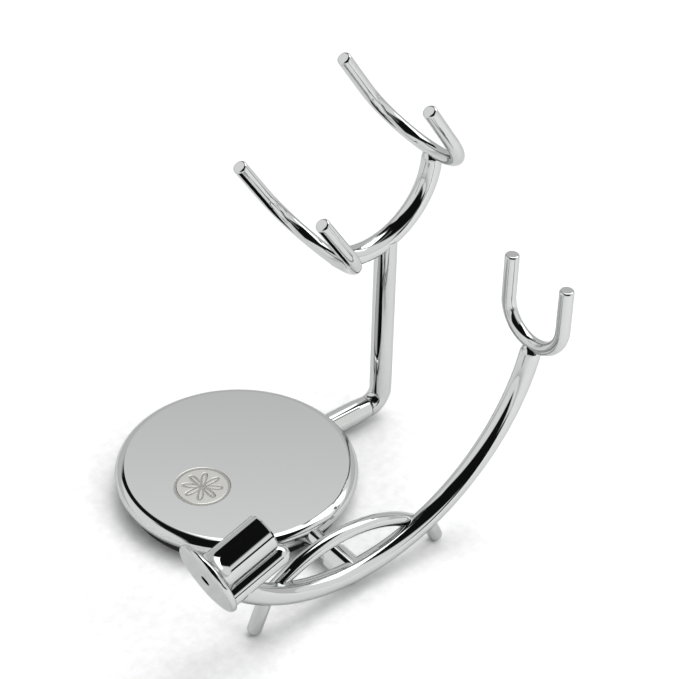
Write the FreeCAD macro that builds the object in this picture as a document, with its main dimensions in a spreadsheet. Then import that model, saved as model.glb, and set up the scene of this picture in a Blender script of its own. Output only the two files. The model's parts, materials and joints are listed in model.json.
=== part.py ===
import FreeCAD, Part
import math
import os
import Sketcher

# A shaving stand in chromed steel: a round plate for the soap bowl, a post with
# a cradle for the brush and a low bow with a cup and a fork for the razor.
# The origin is on the table, under the middle of the plate.
# +X runs along the rear arm to the post, -Y along the front arm to the bow.

doc = FreeCAD.newDocument("shaving_stand")
sheet = doc.addObject("Spreadsheet::Sheet", "Size")

SIZES = [
    # base plate
    ("plate_diameter", 80.0),
    ("rim_thickness", 6.5),
    ("shell_wall", 1.0),
    ("pad_height", 3.75),
    ("ballast_gap", 0.25),
    # rods and wires
    ("post_diameter", 7.6),
    ("bow_diameter", 7.0),
    ("wire_diameter", 4.7),
    ("wire_edge", 0.7),
    # rear arm, stud and post
    ("arm_height", 5.2),
    ("rear_arm_diameter", 8.4),
    ("rear_seam_reach", 56.0),
    ("arm_taper", 5.0),
    ("elbow_radius", 6.0),
    ("seam_edge", 0.45),
    ("stud_diameter", 3.5),
    ("stud_in_post", 4.0),
    ("stud_in_arm", 8.0),
    # brush cradle
    ("cradle_reach", 53.7),
    ("cradle_height", 98.3),
    ("cradle_radius", 26.8),
    ("cradle_start", 237.0),
    ("cradle_end", 363.0),
    ("brush_fork_half_width", 20.2),
    ("brush_fork_leg", 18.2),
    ("brush_fork_lean", 33.5),
    # front arm and socket
    ("socket_diameter", 9.4),
    ("socket_seam_reach", 50.6),
    ("arm_in_socket", 6.0),
    ("grub_diameter", 3.0),
    ("grub_length", 2.4),
    ("grub_recess", 0.3),
    # razor bow
    ("razor_bow_reach", 60.0),
    ("razor_bow_centre", 3.2),
    ("razor_bow_height", 76.0),
    ("razor_bow_radius", 69.8),
    ("razor_bow_start", 227.0),
    ("razor_bow_end", 348.0),
    ("razor_fork_half_width", 12.0),
    ("razor_fork_leg", 15.6),
    # leaf-shaped wire over the front arm
    ("leaf_setback", 3.0),
    ("leaf_centre", -4.3),
    ("leaf_height", -26.7),
    ("leaf_radius", 47.9),
    ("leaf_start", 125.0),
    ("leaf_end", 50.0),
    # feet
    ("left_foot_angle", 237.5),
    ("left_foot_lean", 14.6),
    ("left_foot_heading", 135.0),
    ("right_foot_angle", 292.5),
    ("right_foot_lean", 24.0),
    ("right_foot_heading", 0.0),
    # razor cup and the short rod it lies on
    ("cup_reach", -54.35),
    ("cup_setback", 3.7),
    ("cup_height", 31.95),
    ("cup_tilt", 17.5),
    ("cup_length", 23.5),
    ("cup_diameter", 12.2),
    ("cup_wall", 0.8),
    ("cup_bore_depth", 18.5),
    ("cup_flange_diameter", 24.6),
    ("cup_flange_thickness", 2.2),
    ("cup_flange_edge", 1.05),
    ("cup_flare", 4.6),
    ("cup_lip", 0.7),
    ("cup_rest_length", 26.3),
    ("braze_depth", 0.3),
    ("drain_diameter", 3.6),
]
for row, (alias, number) in enumerate(SIZES, start=1):
    sheet.set("A%d" % row, alias)
    sheet.set("B%d" % row, str(number))
    sheet.setAlias("B%d" % row, alias)
doc.recompute()


def number(expression):
    """The value of an expression over the sheet."""
    found = sheet.evalExpression(expression)
    return getattr(found, "Value", found)


def bind(item, **expressions):
    """Bind properties of an object to expressions over the sheet."""
    for name, expression in expressions.items():
        item.setExpression(name, expression)


def put(item, x="0", y="0", z="0", turn=None, axis=(0, 1, 0)):
    """Place an object, with an optional turn in degrees about one axis."""
    if turn is not None:
        item.Placement = FreeCAD.Placement(
            FreeCAD.Vector(), FreeCAD.Rotation(FreeCAD.Vector(*axis), number(turn)))
        item.setExpression("Placement.Rotation.Angle", "(%s) * 1 deg" % turn)
    for name, expression in (("x", x), ("y", y), ("z", z)):
        item.setExpression("Placement.Base." + name, "(%s) * 1 mm" % expression)
    return item


def plane_of(body, role):
    """One of the body's own origin planes."""
    return [item for item in body.Origin.OriginFeatures if item.Role == role][0]


def new_sketch(body, name, role):
    sketch = body.newObject("Sketcher::SketchObject", name)
    sketch.AttachmentSupport = (plane_of(body, role), [""])
    sketch.MapMode = "FlatFace"
    return sketch


def dimension(sketch, kind, where, expression, unit):
    """Add a driving dimension that follows an expression."""
    value = number(expression)
    if unit == "deg":
        value = FreeCAD.Units.Quantity("%f deg" % value).getValueAs("rad")
    index = sketch.addConstraint(Sketcher.Constraint(kind, *where, value))
    sketch.setExpression("Constraints[%d]" % index, "(%s) * 1 %s" % (expression, unit))


def arc_edge(start, finish, centre, way):
    """An arc about +Z from start to finish, turning left or right, and its two end numbers."""
    first, second = (start, finish) if way == "left" else (finish, start)
    angles = [math.atan2(spot.y - centre.y, spot.x - centre.x) for spot in (first, second)]
    if angles[1] <= angles[0]:
        angles[1] += 2 * math.pi
    circle = Part.Circle(centre, FreeCAD.Vector(0, 0, 1), (start - centre).Length)
    return Part.ArcOfCircle(circle, *angles), ((1, 2) if way == "left" else (2, 1))


def outline(body, name, role, corners):
    """A closed outline. A corner is (across, up) and, where an arc leaves it, (radius, way)."""
    sketch = new_sketch(body, name, role)
    spots = [FreeCAD.Vector(number(c[0]), number(c[1]), 0) for c in corners]
    ends = []
    for place, corner in enumerate(corners):
        here, there = spots[place], spots[(place + 1) % len(spots)]
        if len(corner) == 2:
            sketch.addGeometry(Part.LineSegment(here, there))
            ends.append((1, 2))
            continue
        chord = there - here
        side = FreeCAD.Vector(-chord.y, chord.x, 0).normalize()
        deep = (number(corner[2]) ** 2 - chord.Length ** 2 / 4) ** 0.5
        centre = (here + there) * 0.5 + side * (deep if corner[3] == "left" else -deep)
        edge, pair = arc_edge(here, there, centre, corner[3])
        sketch.addGeometry(edge)
        ends.append(pair)
    for place, corner in enumerate(corners):
        after = (place + 1) % len(corners)
        sketch.addConstraint(Sketcher.Constraint(
            "Coincident", place, ends[place][1], after, ends[after][0]))
        dimension(sketch, "DistanceX", (-1, 1, place, ends[place][0]), corner[0], "mm")
        dimension(sketch, "DistanceY", (-1, 1, place, ends[place][0]), corner[1], "mm")
        if len(corner) > 2:
            dimension(sketch, "Radius", (place,), corner[2], "mm")
    return sketch


def new_body(label):
    body = doc.addObject("PartDesign::Body", label)
    doc.recompute()
    return body


def turned(label, corners):
    """A turned piece about its own Z axis, from an outline in its XZ plane."""
    body = new_body(label)
    sketch = outline(body, label + "_outline", "XZ_Plane", corners)
    turning = body.newObject("PartDesign::Revolution", label + "_turning")
    turning.Profile = sketch
    turning.ReferenceAxis = (sketch, ["V_Axis"])
    turning.Angle = 360.0
    doc.recompute()
    return body


def spine(body, name, role, steps):
    """An open path from the origin straight up: ("line", length) or ("arc", radius, angle, way)."""
    sketch = new_sketch(body, name, role)
    spot, heading = FreeCAD.Vector(), FreeCAD.Vector(0, 1, 0)
    last_end = None
    for place, step in enumerate(steps):
        if step[0] == "line":
            there = spot + heading * number(step[1])
            sketch.addGeometry(Part.LineSegment(spot, there))
            start, end = 1, 2
        else:
            way = 1 if step[3] == "left" else -1
            side = FreeCAD.Vector(-heading.y, heading.x, 0) * way
            centre = spot + side * number(step[1])
            about = FreeCAD.Rotation(FreeCAD.Vector(0, 0, 1), number(step[2]) * way)
            there = centre + about.multVec(spot - centre)
            edge, (start, end) = arc_edge(spot, there, centre, step[3])
            sketch.addGeometry(edge)
            heading = about.multVec(heading)
        if last_end is None:
            sketch.addConstraint(Sketcher.Constraint("Coincident", place, start, -1, 1))
            if step[0] == "line":
                sketch.addConstraint(Sketcher.Constraint("Vertical", place))
            else:
                sketch.addConstraint(Sketcher.Constraint("PointOnObject", place, 3, -1))
        else:
            sketch.addConstraint(Sketcher.Constraint(
                "Tangent", place - 1, last_end, place, start))
        if step[0] == "line":
            dimension(sketch, "Distance", (place,), step[1], "mm")
        else:
            dimension(sketch, "Radius", (place,), step[1], "mm")
            dimension(sketch, "Angle", (place,), step[2], "deg")
        spot = there
        last_end = end
    return sketch


def rod(label, diameter, role, steps, edge=None, ends=("start", "end")):
    """A bent rod. It starts at its body's origin and heads up the body's Z axis."""
    body = new_body(label)
    path = spine(body, label + "_path", role, steps)
    ring = new_sketch(body, label + "_ring", "XY_Plane")
    ring.addGeometry(Part.Circle(FreeCAD.Vector(), FreeCAD.Vector(0, 0, 1), number(diameter) / 2))
    ring.addConstraint(Sketcher.Constraint("Coincident", 0, 3, -1, 1))
    dimension(ring, "Diameter", (0,), diameter, "mm")
    doc.recompute()
    pipe = body.newObject("PartDesign::AdditivePipe", label + "_pipe")
    pipe.Profile = ring
    pipe.Spine = (path, ["Edge%d" % (place + 1) for place in range(len(steps))])
    pipe.Mode = "Frenet" if len(steps) == 1 and steps[0][0] == "arc" else "Standard"
    doc.recompute()
    if edge:
        first = path.Shape.Vertexes[0].Point
        last = path.Shape.Vertexes[-1].Point
        wanted = [spot for spot, name in ((first, "start"), (last, "end")) if name in ends]
        rims = []
        for place, item in enumerate(pipe.Shape.Edges):
            middle = item.BoundBox.Center
            if item.Length > number(diameter) * 3 and any(
                    (middle - spot).Length < 1e-3 for spot in wanted):
                rims.append("Edge%d" % (place + 1))
        rounding = body.newObject("PartDesign::Fillet", label + "_rounding")
        rounding.Base = (pipe, rims)
        bind(rounding, Radius=edge)
        doc.recompute()
    return body


def cylinder(label, diameter, height):
    item = doc.addObject("Part::Cylinder", label)
    bind(item, Radius="(%s) / 2" % diameter, Height=height)
    return item


def sphere(label, diameter):
    item = doc.addObject("Part::Sphere", label)
    bind(item, Radius="(%s) / 2" % diameter)
    return item


def joined(label, *items):
    union = doc.addObject("Part::MultiFuse", label)
    union.Shapes = list(items)
    return union


def fitted(label, blank, *neighbours):
    """A blank with its end cut to sit against the neighbours it is brazed to."""
    tool = neighbours[0] if len(neighbours) == 1 else joined(label + "_seats", *neighbours)
    piece = doc.addObject("Part::Cut", label)
    piece.Base = blank
    piece.Tool = tool
    return piece


# Heights above the table.
RIM = "(Size.pad_height + Size.rim_thickness / 2)"
FLAT = "(Size.plate_diameter / 2 - Size.rim_thickness / 2)"
INNER = "(Size.rim_thickness / 2 - Size.shell_wall)"
# The rounding on a free end of a thick rod.
ROUND = "(Size.bow_diameter * 0.45)"


def base_plate():
    """A pressed shell with a full-round rim, a steel weight inside and a rubber pad."""
    half = "Size.rim_thickness / 2"
    shell = turned("plate_shell", [
        ("0", half), (FLAT, half, half, "right"),
        ("Size.plate_diameter / 2", "0", half, "right"), (FLAT, "-" + half),
        (FLAT, "-" + INNER, INNER, "left"),
        ("Size.plate_diameter / 2 - Size.shell_wall", "0", INNER, "left"),
        (FLAT, INNER), ("0", INNER)])
    put(shell, z=RIM)
    wide = "(%s - Size.ballast_gap) * 2" % FLAT
    ballast = cylinder("ballast_disc", wide, "Size.rim_thickness - Size.shell_wall")
    put(ballast, z="Size.pad_height")
    pad = cylinder("base_pad", wide, "Size.pad_height")
    put(pad)
    envelope = doc.addObject("Part::Torus", "rim_envelope")
    bind(envelope, Radius1=FLAT, Radius2=half)
    put(envelope, z=RIM)
    return [shell, ballast, pad], envelope


def rear_side(envelope):
    """Rear arm, stud, post and the brush cradle, all in the plane of the rear arm."""
    reach = "Size.rear_seam_reach"
    stub = turned("rear_arm_blank", [
        ("0", "0"), ("Size.rear_arm_diameter / 2", "0"),
        ("Size.rear_arm_diameter / 2", "%s - %s - Size.arm_taper" % (reach, FLAT)),
        ("Size.post_diameter / 2", "%s - %s - Size.seam_edge" % (reach, FLAT)),
        ("Size.post_diameter / 2 - Size.seam_edge", "%s - %s" % (reach, FLAT)),
        ("0", "%s - %s" % (reach, FLAT))])
    put(stub, x=FLAT, z="Size.arm_height", turn="90")
    stud = cylinder("post_stud", "Size.stud_diameter", "Size.stud_in_arm + Size.stud_in_post")
    put(stud, x=reach + " - Size.stud_in_arm", z="Size.arm_height", turn="90")
    arm = fitted("rear_arm", stub, envelope, stud)

    turn = "Size.cradle_end - Size.cradle_start"
    start_x = "Size.cradle_reach + Size.cradle_radius * cos(Size.cradle_start * 1 deg)"
    start_z = "Size.cradle_height + Size.cradle_radius * sin(Size.cradle_start * 1 deg)"
    end_x = "Size.cradle_reach + Size.cradle_radius * cos(Size.cradle_end * 1 deg)"
    end_z = "Size.cradle_height + Size.cradle_radius * sin(Size.cradle_end * 1 deg)"
    bow = rod("brush_bow_blank", "Size.bow_diameter", "XZ_Plane", [
        ("arc", "Size.cradle_radius", turn, "left")], edge=ROUND)
    put(bow, x=start_x, z=start_z, turn="-Size.cradle_start")

    post_x = "(%s + Size.elbow_radius)" % reach
    sag = "(Size.cradle_radius ^ 2 - (%s - Size.cradle_reach) ^ 2) ^ 0.5" % post_x
    rise = "Size.cradle_height - %s - Size.arm_height - Size.elbow_radius" % sag
    post_blank = rod("post_blank", "Size.post_diameter", "XZ_Plane", [
        ("arc", "Size.elbow_radius", "90", "left"), ("line", rise)],
        edge="Size.seam_edge", ends=("start",))
    put(post_blank, x=reach, z="Size.arm_height", turn="90")
    post = fitted("post", post_blank, bow, stud)

    forks = []
    for label, x, z in (("front_brush_fork", start_x, start_z), ("rear_brush_fork", end_x, end_z)):
        forks.append(fork(label, x, "0", z, "Size.brush_fork_lean",
                          "Size.brush_fork_half_width", "Size.brush_fork_leg"))
    return [arm, stud, post, fitted("brush_bow", bow, *forks)] + forks


def fork(label, x, y, z, lean, half_width, leg):
    """A U of wire, brazed on by the middle of its bend, leaning back from upright."""
    body = rod(label, "Size.wire_diameter", "YZ_Plane", [
        ("line", leg), ("arc", half_width, "180", "right"), ("line", leg)],
        edge="Size.wire_edge")
    deep = "(%s + %s)" % (half_width, leg)
    put(body, x="%s - %s * sin(%s * 1 deg)" % (x, deep, lean), y="%s - %s" % (y, half_width),
        z="%s + %s * cos(%s * 1 deg)" % (z, deep, lean), turn="-180 - " + lean)
    return body


def foot(label, bow_x, bow_z):
    """A straight wire leg from the bow's own line, leaning one way, with a round tip."""
    angle, lean, heading = ["Size.%s_%s" % (label, size) for size in ("angle", "lean", "heading")]
    x = "(%s + Size.razor_bow_radius * cos(%s * 1 deg))" % (bow_x, angle)
    z = "(%s + Size.razor_bow_radius * sin(%s * 1 deg))" % (bow_z, angle)
    length = "((%s - Size.wire_diameter / 2) / cos(%s * 1 deg))" % (z, lean)
    across = math.radians(number(heading) + 90)
    leg = cylinder(label + "_leg", "Size.wire_diameter", length)
    put(leg, x=x, y="-Size.razor_bow_reach", z=z, turn="180 - " + lean,
        axis=(math.cos(across), math.sin(across), 0))
    tip = sphere(label + "_tip", "Size.wire_diameter")
    away = "%s * sin(%s * 1 deg)" % (length, lean)
    put(tip, x="%s + %s * cos(%s * 1 deg)" % (x, away, heading),
        y="%s * sin(%s * 1 deg) - Size.razor_bow_reach" % (away, heading),
        z="Size.wire_diameter / 2")
    return joined(label + "_blank", leg, tip)


def razor_cup():
    """A turned cup with a flared foot and a drain; the mouth looks up at the fork."""
    outer = "Size.cup_diameter / 2"
    flange = "Size.cup_flange_diameter / 2"
    edge = "Size.cup_flange_edge"
    thick = "Size.cup_flange_thickness"
    bore = outer + " - Size.cup_wall"
    floor = "Size.cup_length - Size.cup_bore_depth"
    drain = "Size.drain_diameter / 2"
    body = turned("razor_cup", [
        (drain, "0"), ("%s - %s" % (flange, edge), "0", edge, "left"),
        (flange, edge), (flange, "%s - %s" % (thick, edge), edge, "left"),
        ("%s - %s" % (flange, edge), thick), ("%s + Size.cup_flare" % outer, thick,
                                              "Size.cup_flare", "right"),
        (outer, thick + " + Size.cup_flare"), (outer, "Size.cup_length - Size.cup_lip"),
        (outer + " - Size.cup_lip", "Size.cup_length"), (bore, "Size.cup_length"),
        (bore, floor), (drain, floor)])
    return put(body, x="Size.cup_reach", y="-Size.razor_bow_reach + Size.cup_setback",
               z="Size.cup_height", turn="90 - Size.cup_tilt")


def cup_rest():
    """The short round-ended rod under the cup, along it and in the razor bow's plane."""
    apart = "((Size.cup_diameter + Size.bow_diameter) / 2 - Size.braze_depth)"
    drop = "(%s ^ 2 - Size.cup_setback ^ 2) ^ 0.5" % apart
    tilt = "(Size.cup_tilt * 1 deg)"
    start = "(Size.cup_flange_thickness + Size.braze_depth)"
    end = "(Size.cup_rest_length - Size.bow_diameter / 2)"
    bar = cylinder("cup_rest_bar", "Size.bow_diameter", "%s - %s" % (end, start))
    tip = sphere("cup_rest_tip", "Size.bow_diameter")
    for item, along in ((bar, start), (tip, end)):
        put(item, x="Size.cup_reach + %s * sin%s + %s * cos%s" % (drop, tilt, along, tilt),
            y="-Size.razor_bow_reach",
            z="Size.cup_height - %s * cos%s + %s * sin%s" % (drop, tilt, along, tilt),
            turn="90 - Size.cup_tilt")
    return joined("cup_rest_blank", bar, tip)


def front_side(envelope):
    """Front arm, socket and grub screw, and the razor bow with all it carries."""
    bow_x, bow_z = "Size.razor_bow_centre", "Size.razor_bow_height"
    radius, start, end = "Size.razor_bow_radius", "Size.razor_bow_start", "Size.razor_bow_end"
    bow = rod("razor_bow_blank", "Size.bow_diameter", "XZ_Plane", [
        ("arc", radius, "%s - %s" % (end, start), "left")], edge=ROUND, ends=("end",))
    put(bow, x="%s + %s * cos(%s * 1 deg)" % (bow_x, radius, start), y="-Size.razor_bow_reach",
        z="%s + %s * sin(%s * 1 deg)" % (bow_z, radius, start), turn="-" + start)
    razor_fork = fork(
        "razor_fork", "%s + %s * cos(%s * 1 deg)" % (bow_x, radius, end),
        "-Size.razor_bow_reach", "%s + %s * sin(%s * 1 deg)" % (bow_z, radius, end),
        "0", "Size.razor_fork_half_width", "Size.razor_fork_leg")
    cup = razor_cup()
    rest = cup_rest()

    leaf = rod("leaf_wire_blank", "Size.wire_diameter", "XZ_Plane", [
        ("arc", "Size.leaf_radius", "Size.leaf_start - Size.leaf_end", "right")],
        edge="Size.wire_edge")
    put(leaf, x="Size.leaf_centre + Size.leaf_radius * cos(Size.leaf_start * 1 deg)",
        y="-Size.razor_bow_reach + Size.leaf_setback",
        z="Size.leaf_height + Size.leaf_radius * sin(Size.leaf_start * 1 deg)",
        turn="180 - Size.leaf_start")

    arm_end = "(Size.socket_seam_reach + Size.arm_in_socket)"
    arm_blank = cylinder("front_arm_blank", "Size.bow_diameter", "%s - %s" % (arm_end, FLAT))
    put(arm_blank, y="-" + FLAT, z="Size.arm_height", turn="90", axis=(1, 0, 0))
    grub_y = "-(Size.socket_seam_reach + Size.arm_in_socket / 2)"
    grub = cylinder("grub_screw", "Size.grub_diameter", "Size.grub_length")
    low = "(Size.arm_height - Size.socket_diameter / 2 + Size.grub_recess)"
    put(grub, y=grub_y, z=low)
    shaft = cylinder("grub_hole", "Size.grub_diameter", "Size.grub_recess + Size.grub_length")
    put(shaft, y=grub_y, z=low + " - Size.grub_recess")
    arm = fitted("front_arm", arm_blank, envelope, grub, bow)
    sleeve = cylinder("socket_blank", "Size.socket_diameter",
                      "Size.razor_bow_reach - Size.socket_seam_reach")
    put(sleeve, y="-Size.socket_seam_reach", z="Size.arm_height", turn="90", axis=(1, 0, 0))
    socket = fitted("front_socket", sleeve, bow, arm_blank, shaft)

    feet = []
    for label in ("left_foot", "right_foot"):
        feet.append(fitted(label, foot(label, bow_x, bow_z), bow))
    return [arm, socket, grub, fitted("razor_bow", bow, razor_fork, rest), razor_fork, cup,
            fitted("cup_rest", rest, cup), fitted("leaf_wire", leaf, bow)] + feet


plate, rim = base_plate()
pieces = plate + rear_side(rim) + front_side(rim)
doc.recompute()

os.makedirs("parts", exist_ok=True)
for item in doc.Objects:
    if "Invalid" in item.State or "Error" in item.State:
        raise RuntimeError("%s is broken: %s" % (item.Label, item.State))
for piece in pieces:
    shape = piece.Shape
    if shape.isNull() or not shape.isValid() or not shape.Solids:
        raise RuntimeError(piece.Label + " has no sound shape")
    shape.exportStep("parts/%s.step" % piece.Label)
    print(piece.Label, len(shape.Solids), round(shape.Volume, 1))
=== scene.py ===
import json
import math

import bpy
from mathutils import Matrix, Vector

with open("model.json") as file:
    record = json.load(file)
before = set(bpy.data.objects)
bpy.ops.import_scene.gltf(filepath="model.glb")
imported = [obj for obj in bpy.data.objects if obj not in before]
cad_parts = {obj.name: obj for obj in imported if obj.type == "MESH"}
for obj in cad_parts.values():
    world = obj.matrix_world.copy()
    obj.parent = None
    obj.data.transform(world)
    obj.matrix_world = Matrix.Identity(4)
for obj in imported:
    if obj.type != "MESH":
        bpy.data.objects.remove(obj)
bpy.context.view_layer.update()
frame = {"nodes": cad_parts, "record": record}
nodes = frame["nodes"]


# ---------------------------------------------------------------- node helpers

class Value:
    """A shader value that can be used in plain arithmetic."""

    def __init__(self, tree, source):
        self.tree = tree
        self.source = source

    def _math(self, operation, *values, swap=False):
        node = self.tree.nodes.new("ShaderNodeMath")
        node.operation = operation
        inputs = [self, *values]
        if swap:
            inputs.reverse()
        for place, item in enumerate(inputs):
            if isinstance(item, Value):
                self.tree.links.new(item.source, node.inputs[place])
            else:
                node.inputs[place].default_value = item
        return Value(self.tree, node.outputs[0])

    def __add__(self, other):
        return self._math("ADD", other)

    def __radd__(self, other):
        return self._math("ADD", other)

    def __sub__(self, other):
        return self._math("SUBTRACT", other)

    def __rsub__(self, other):
        return self._math("SUBTRACT", other, swap=True)

    def __mul__(self, other):
        return self._math("MULTIPLY", other)

    def __rmul__(self, other):
        return self._math("MULTIPLY", other)

    def __truediv__(self, other):
        return self._math("DIVIDE", other)

    def __rtruediv__(self, other):
        return self._math("DIVIDE", other, swap=True)

    def call(self, operation, *values):
        """Any other maths operation, such as ABSOLUTE, COSINE or ARCTAN2."""
        return self._math(operation, *values)


class Shader:
    """One node material around a Principled shader."""

    def __init__(self, name, **values):
        self.material = bpy.data.materials.new(name)
        self.material.use_nodes = True
        self.tree = self.material.node_tree
        self.surface = next(n for n in self.tree.nodes if n.type == "BSDF_PRINCIPLED")
        for socket, value in values.items():
            self.surface.inputs[socket.replace("_", " ")].default_value = value

    def node(self, kind, inputs=None, **settings):
        """A node of any kind, with its settings made and its inputs linked or set."""
        made = self.tree.nodes.new(kind)
        for name, value in settings.items():
            setattr(made, name, value)
        for name, value in (inputs or {}).items():
            self.join(value, made.inputs[name])
        return made

    def join(self, value, socket):
        """Feeds a socket from a Value, from another socket or with a constant."""
        if isinstance(value, Value):
            self.tree.links.new(value.source, socket)
        elif isinstance(value, bpy.types.NodeSocket):
            self.tree.links.new(value, socket)
        else:
            socket.default_value = value

    def value(self, socket):
        return Value(self.tree, socket)

    def place(self):
        """The point's place in metres, in the frame's own axes."""
        return self.node("ShaderNodeTexCoord").outputs["Object"]

    def noise(self, scale, detail, rough=0.5, stretch=(1, 1, 1)):
        """Noise from 0 to 1; scale is in cycles a metre."""
        mapping = self.node("ShaderNodeMapping", {"Vector": self.place(), "Scale": stretch})
        noise = self.node("ShaderNodeTexNoise", {
            "Vector": mapping.outputs[0], "Scale": scale, "Detail": detail, "Roughness": rough})
        return self.value(noise.outputs["Fac"])

    def ramp(self, value, start, end):
        """Maps start..end to 0..1 with a smooth step, held at both ends."""
        made = self.node("ShaderNodeMapRange", {
            "Value": value, "From Min": start, "From Max": end},
            interpolation_type="SMOOTHSTEP")
        return self.value(made.outputs["Result"])

    def blend(self, factor, first, second):
        """A colour between two colours."""
        made = self.node("ShaderNodeMix", data_type="RGBA")
        self.join(factor, made.inputs[0])
        self.join(first, made.inputs[6])
        self.join(second, made.inputs[7])
        return made.outputs[2]

    def bump(self, height, depth, strength):
        """Feeds the shader's normal; height is 0 to 1 over a depth in metres."""
        made = self.node("ShaderNodeBump", {
            "Height": height, "Distance": depth, "Strength": strength})
        self.join(made.outputs["Normal"], self.surface.inputs["Normal"])

    def feed(self, socket, value):
        self.join(value, self.surface.inputs[socket])


# ------------------------------------------------------------------- materials

# The colour of chrome face on and at a grazing angle, and how much warmer its clouds are.
CHROME_TINT = (0.560, 0.575, 0.578)
CHROME_EDGE = (0.72, 0.73, 0.73, 1.0)
CHROME_WARMTH = (1.0, 0.985, 0.965)

# The etched mark: its place on the plate, its ring's radius and its line width, all in metres.
MARK_PLACE = (-0.0160, -0.0026)
MARK_RADIUS = 0.0088
MARK_LINE = 0.00085
# The rosette: its number of petals; how far they reach on average, how far their outline
# swings in and out and the heart's radius, as shares of the ring's radius; and its line's
# width as a share of the ring's.
PETALS = 8
PETAL_REACH = 0.46
PETAL_SWING = 0.26
HEART = 0.12
FINE_LINE = 0.8


def chrome(name, haze):
    """Polished chrome plate with wipe marks and thin, slightly uneven haze."""
    shader = Shader(name, Metallic=1.0, Specular_Tint=CHROME_EDGE)
    cloud = shader.noise(38.0, 2.0)
    marks = shader.noise(420.0, 4.0, 0.6, stretch=(1.0, 1.0, 0.25))
    warm = tuple(channel * shade for channel, shade in zip(CHROME_TINT, CHROME_WARMTH))
    shader.feed("Base Color", shader.blend(cloud, (*CHROME_TINT, 1.0), (*warm, 1.0)))
    shader.feed("Roughness", haze + 0.03 * shader.ramp(marks, 0.5, 0.75) + 0.02 * cloud)
    return shader


def rod_finish():
    """The chrome of the rods and wires, faintly wavy from polishing."""
    shader = chrome("chrome", haze=0.03)
    shader.bump(shader.noise(55.0, 1.5), 0.00002, 0.5)
    return shader


def plain(name, color, rough, depth, scale, metal=0.0):
    """Matte or machined stock with a fine grain; depth in metres, scale in cycles a metre."""
    shader = Shader(name, Metallic=metal)
    grain = shader.noise(scale, 4.0, 0.6)
    dark = tuple(channel * 0.75 for channel in color) + (1.0,)
    shader.feed("Base Color", shader.blend(grain, dark, (*color, 1.0)))
    shader.feed("Roughness", rough - 0.1 + 0.2 * grain)
    shader.bump(grain, depth, 0.7)
    return shader


def plate_finish():
    """The plate's chrome, with a ring and a rosette of petals etched in it."""
    shader = chrome("plate_chrome", haze=0.045)
    spot = shader.node("ShaderNodeSeparateXYZ", {"Vector": shader.place()})
    across = shader.value(spot.outputs["X"]) - MARK_PLACE[0]
    along = shader.value(spot.outputs["Y"]) - MARK_PLACE[1]
    reach = (across * across + along * along).call("SQRT")
    angle = along.call("ARCTAN2", across)
    ring = line(shader, reach, MARK_RADIUS, MARK_LINE)
    petal = MARK_RADIUS * (PETAL_REACH + PETAL_SWING * (angle * PETALS).call("COSINE"))
    steep = MARK_RADIUS * PETAL_SWING * PETALS * (angle * PETALS).call("SINE") / reach
    gap = (reach - petal) / (1.0 + steep * steep).call("SQRT")
    rosette = line(shader, gap, 0.0, MARK_LINE * FINE_LINE)
    heart = line(shader, reach, MARK_RADIUS * HEART, MARK_LINE * FINE_LINE)
    mark = ring.call("MAXIMUM", rosette).call("MAXIMUM", heart)
    inside = shader.ramp(reach, MARK_RADIUS, MARK_RADIUS * 0.97)
    color = shader.surface.inputs["Base Color"].links[0].from_socket
    frosted = shader.blend(inside * 0.6, color, (0.60, 0.59, 0.56, 1.0))
    shader.feed("Base Color", shader.blend(mark * 0.7, frosted, (0.24, 0.23, 0.20, 1.0)))
    haze = shader.value(shader.surface.inputs["Roughness"].links[0].from_socket)
    shader.feed("Roughness", haze + 0.03 * inside + 0.25 * mark)
    shader.bump(1.0 - mark, 0.00006, 0.6)
    return shader


def line(shader, distance, middle, width):
    """1 on a line of some width where a distance equals its middle, 0 beside it."""
    return shader.ramp((distance - middle).call("ABSOLUTE"), width * 0.75, width * 0.35)


FINISHES = {
    "chrome": rod_finish(),
    "bare_steel": plain("bare_steel", (0.50, 0.51, 0.52), rough=0.38, depth=0.00003,
                        scale=900.0, metal=1.0),
    "black_steel": plain("black_steel", (0.035, 0.035, 0.04), rough=0.45, depth=0.00002,
                         scale=1400.0, metal=0.6),
    "rubber": plain("rubber", (0.022, 0.022, 0.023), rough=0.72, depth=0.00008, scale=700.0),
}


def dress(name, shader):
    """Gives a CAD node its finish."""
    item = nodes[name]
    item.data.materials.clear()
    item.data.materials.append(shader.material)


for part in frame["record"]["subparts"]:
    dress(part["node"], FINISHES[part["material_slot"]])
dress("plate_shell", plate_finish())


# ---------------------------------------------------------------------- studio

# The camera: its angles, the point it looks at and its distance in metres, its lens in mm.
VIEW_AZIMUTH = math.radians(-40.5)
VIEW_ELEVATION = math.radians(37.6)
VIEW_ROLL = math.radians(1.35)
VIEW_AIM = Vector((0.0215, -0.0253, 0.0660))
VIEW_DISTANCE = 0.650
LENS = 111.3
CLIP_START = 0.01

FLOOR_HALF = 3.0

# The tent's brightness: its back wall, what its front and top have more, where the back wall
# starts and over what angle it fades in, the overhead panel, and what its dark parts keep.
BACK_WALL = 0.76
FRONT_GAIN = 0.33
BACK_START = math.radians(142)
BACK_FADE = 0.10
PANEL_GLOW = 3.2
DARK_GLOW = 0.008


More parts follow.
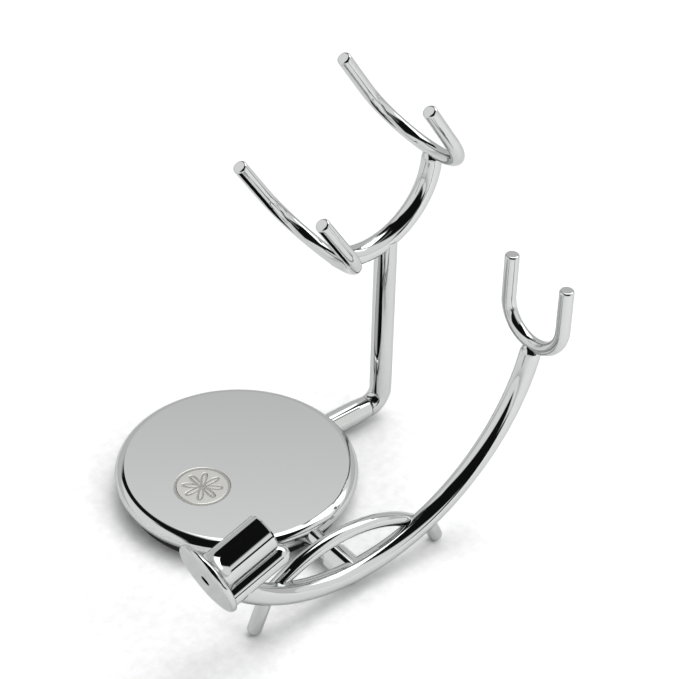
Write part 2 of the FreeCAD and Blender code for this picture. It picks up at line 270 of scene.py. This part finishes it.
def camera():
    back = Vector((math.sin(VIEW_AZIMUTH) * math.cos(VIEW_ELEVATION),
                   -math.cos(VIEW_AZIMUTH) * math.cos(VIEW_ELEVATION),
                   math.sin(VIEW_ELEVATION)))
    right = Vector((math.cos(VIEW_AZIMUTH), math.sin(VIEW_AZIMUTH), 0.0))
    up = back.cross(right)
    level = Matrix((right, up, back)).transposed().to_4x4()
    data = bpy.data.cameras.new("camera")
    data.lens = LENS
    data.clip_start = CLIP_START
    eye = bpy.data.objects.new("camera", data)
    eye.matrix_world = (Matrix.Translation(VIEW_AIM + back * VIEW_DISTANCE) @ level
                        @ Matrix.Rotation(VIEW_ROLL, 4, "Z"))
    bpy.context.scene.collection.objects.link(eye)
    bpy.context.scene.camera = eye


def floor():
    mesh = bpy.data.meshes.new("floor")
    corners = [(-1, -1), (1, -1), (1, 1), (-1, 1)]
    mesh.from_pydata([(x * FLOOR_HALF, y * FLOOR_HALF, 0) for x, y in corners],
                     [], [(0, 1, 2, 3)])
    item = bpy.data.objects.new("floor", mesh)
    bpy.context.scene.collection.objects.link(item)
    shader = plain("floor_paper", (0.93, 0.93, 0.93), rough=0.8, depth=0.00002, scale=300.0)
    mesh.materials.append(shader.material)


def tent():
    """A light tent whose front is the camera's side: a bright overhead panel, pale walls with
    a greyer one at the back, a dark mouth in front and two dark flags."""
    world = bpy.data.worlds.new("tent")
    world.use_nodes = True
    bpy.context.scene.world = world
    tree = world.node_tree
    sky = next(n for n in tree.nodes if n.type == "BACKGROUND")
    sky.inputs["Color"].default_value = (1.0, 1.0, 1.0, 1.0)
    spot = tree.nodes.new("ShaderNodeSeparateXYZ")
    tree.links.new(tree.nodes.new("ShaderNodeTexCoord").outputs["Generated"], spot.inputs[0])
    x, y, z = [Value(tree, spot.outputs[axis]) for axis in ("X", "Y", "Z")]
    ahead = x * math.sin(VIEW_AZIMUTH) - y * math.cos(VIEW_AZIMUTH)
    aside = x * math.cos(VIEW_AZIMUTH) + y * math.sin(VIEW_AZIMUTH)
    swing = z.call("ARCTAN2", ahead)

    def band(value, low, high, soft):
        """1 between two limits with soft edges."""
        rise = ((value - low) / soft + 0.5).call("MINIMUM", 1.0).call("MAXIMUM", 0.0)
        fall = ((high - value) / soft + 0.5).call("MINIMUM", 1.0).call("MAXIMUM", 0.0)
        return rise * fall

    def panel(low, high, left, right, swing_soft=0.06, aside_soft=0.08):
        """1 inside a panel: in degrees over the top from the front, and from left to right."""
        return (band(swing, math.radians(low), math.radians(high), swing_soft)
                * band(aside, left, right, aside_soft))

    mouth = panel(8, 99, -0.62, 0.62)
    low_flag = panel(-14, 14, 0.2, 0.86)
    top_flag = panel(88, 140, -0.54, -0.16, aside_soft=0.06)
    dark = mouth.call("MAXIMUM", top_flag).call("MAXIMUM", low_flag)
    bright = panel(100, 131, -0.10, 0.8, swing_soft=0.08)
    front = ((BACK_START - swing) / BACK_FADE).call("MINIMUM", 1.0).call("MAXIMUM", 0.0)
    wall = BACK_WALL + FRONT_GAIN * front
    glow = (wall * (1.0 - bright) + PANEL_GLOW * bright) * (1.0 - dark) + DARK_GLOW
    tree.links.new(glow.source, sky.inputs["Strength"])


def lamp(name, place, size, power, aim=VIEW_AIM):
    """A soft square lamp, aimed at the stand unless told otherwise."""
    data = bpy.data.lights.new(name, "AREA")
    data.size = size
    data.energy = power
    item = bpy.data.objects.new(name, data)
    item.location = place
    item.rotation_euler = (Vector(aim) - Vector(place)).to_track_quat("-Z", "Y").to_euler()
    item.visible_glossy = False
    bpy.context.scene.collection.objects.link(item)


camera()
floor()
tent()
lamp("overhead", place=(0.1, 0.1, 1.2), size=1.2, power=9.5)
lamp("side", place=(0.16, -0.42, 0.36), size=0.25, power=0.9, aim=(0.14, -0.38, 0.0))
bpy.context.scene.view_settings.view_transform = "Standard"
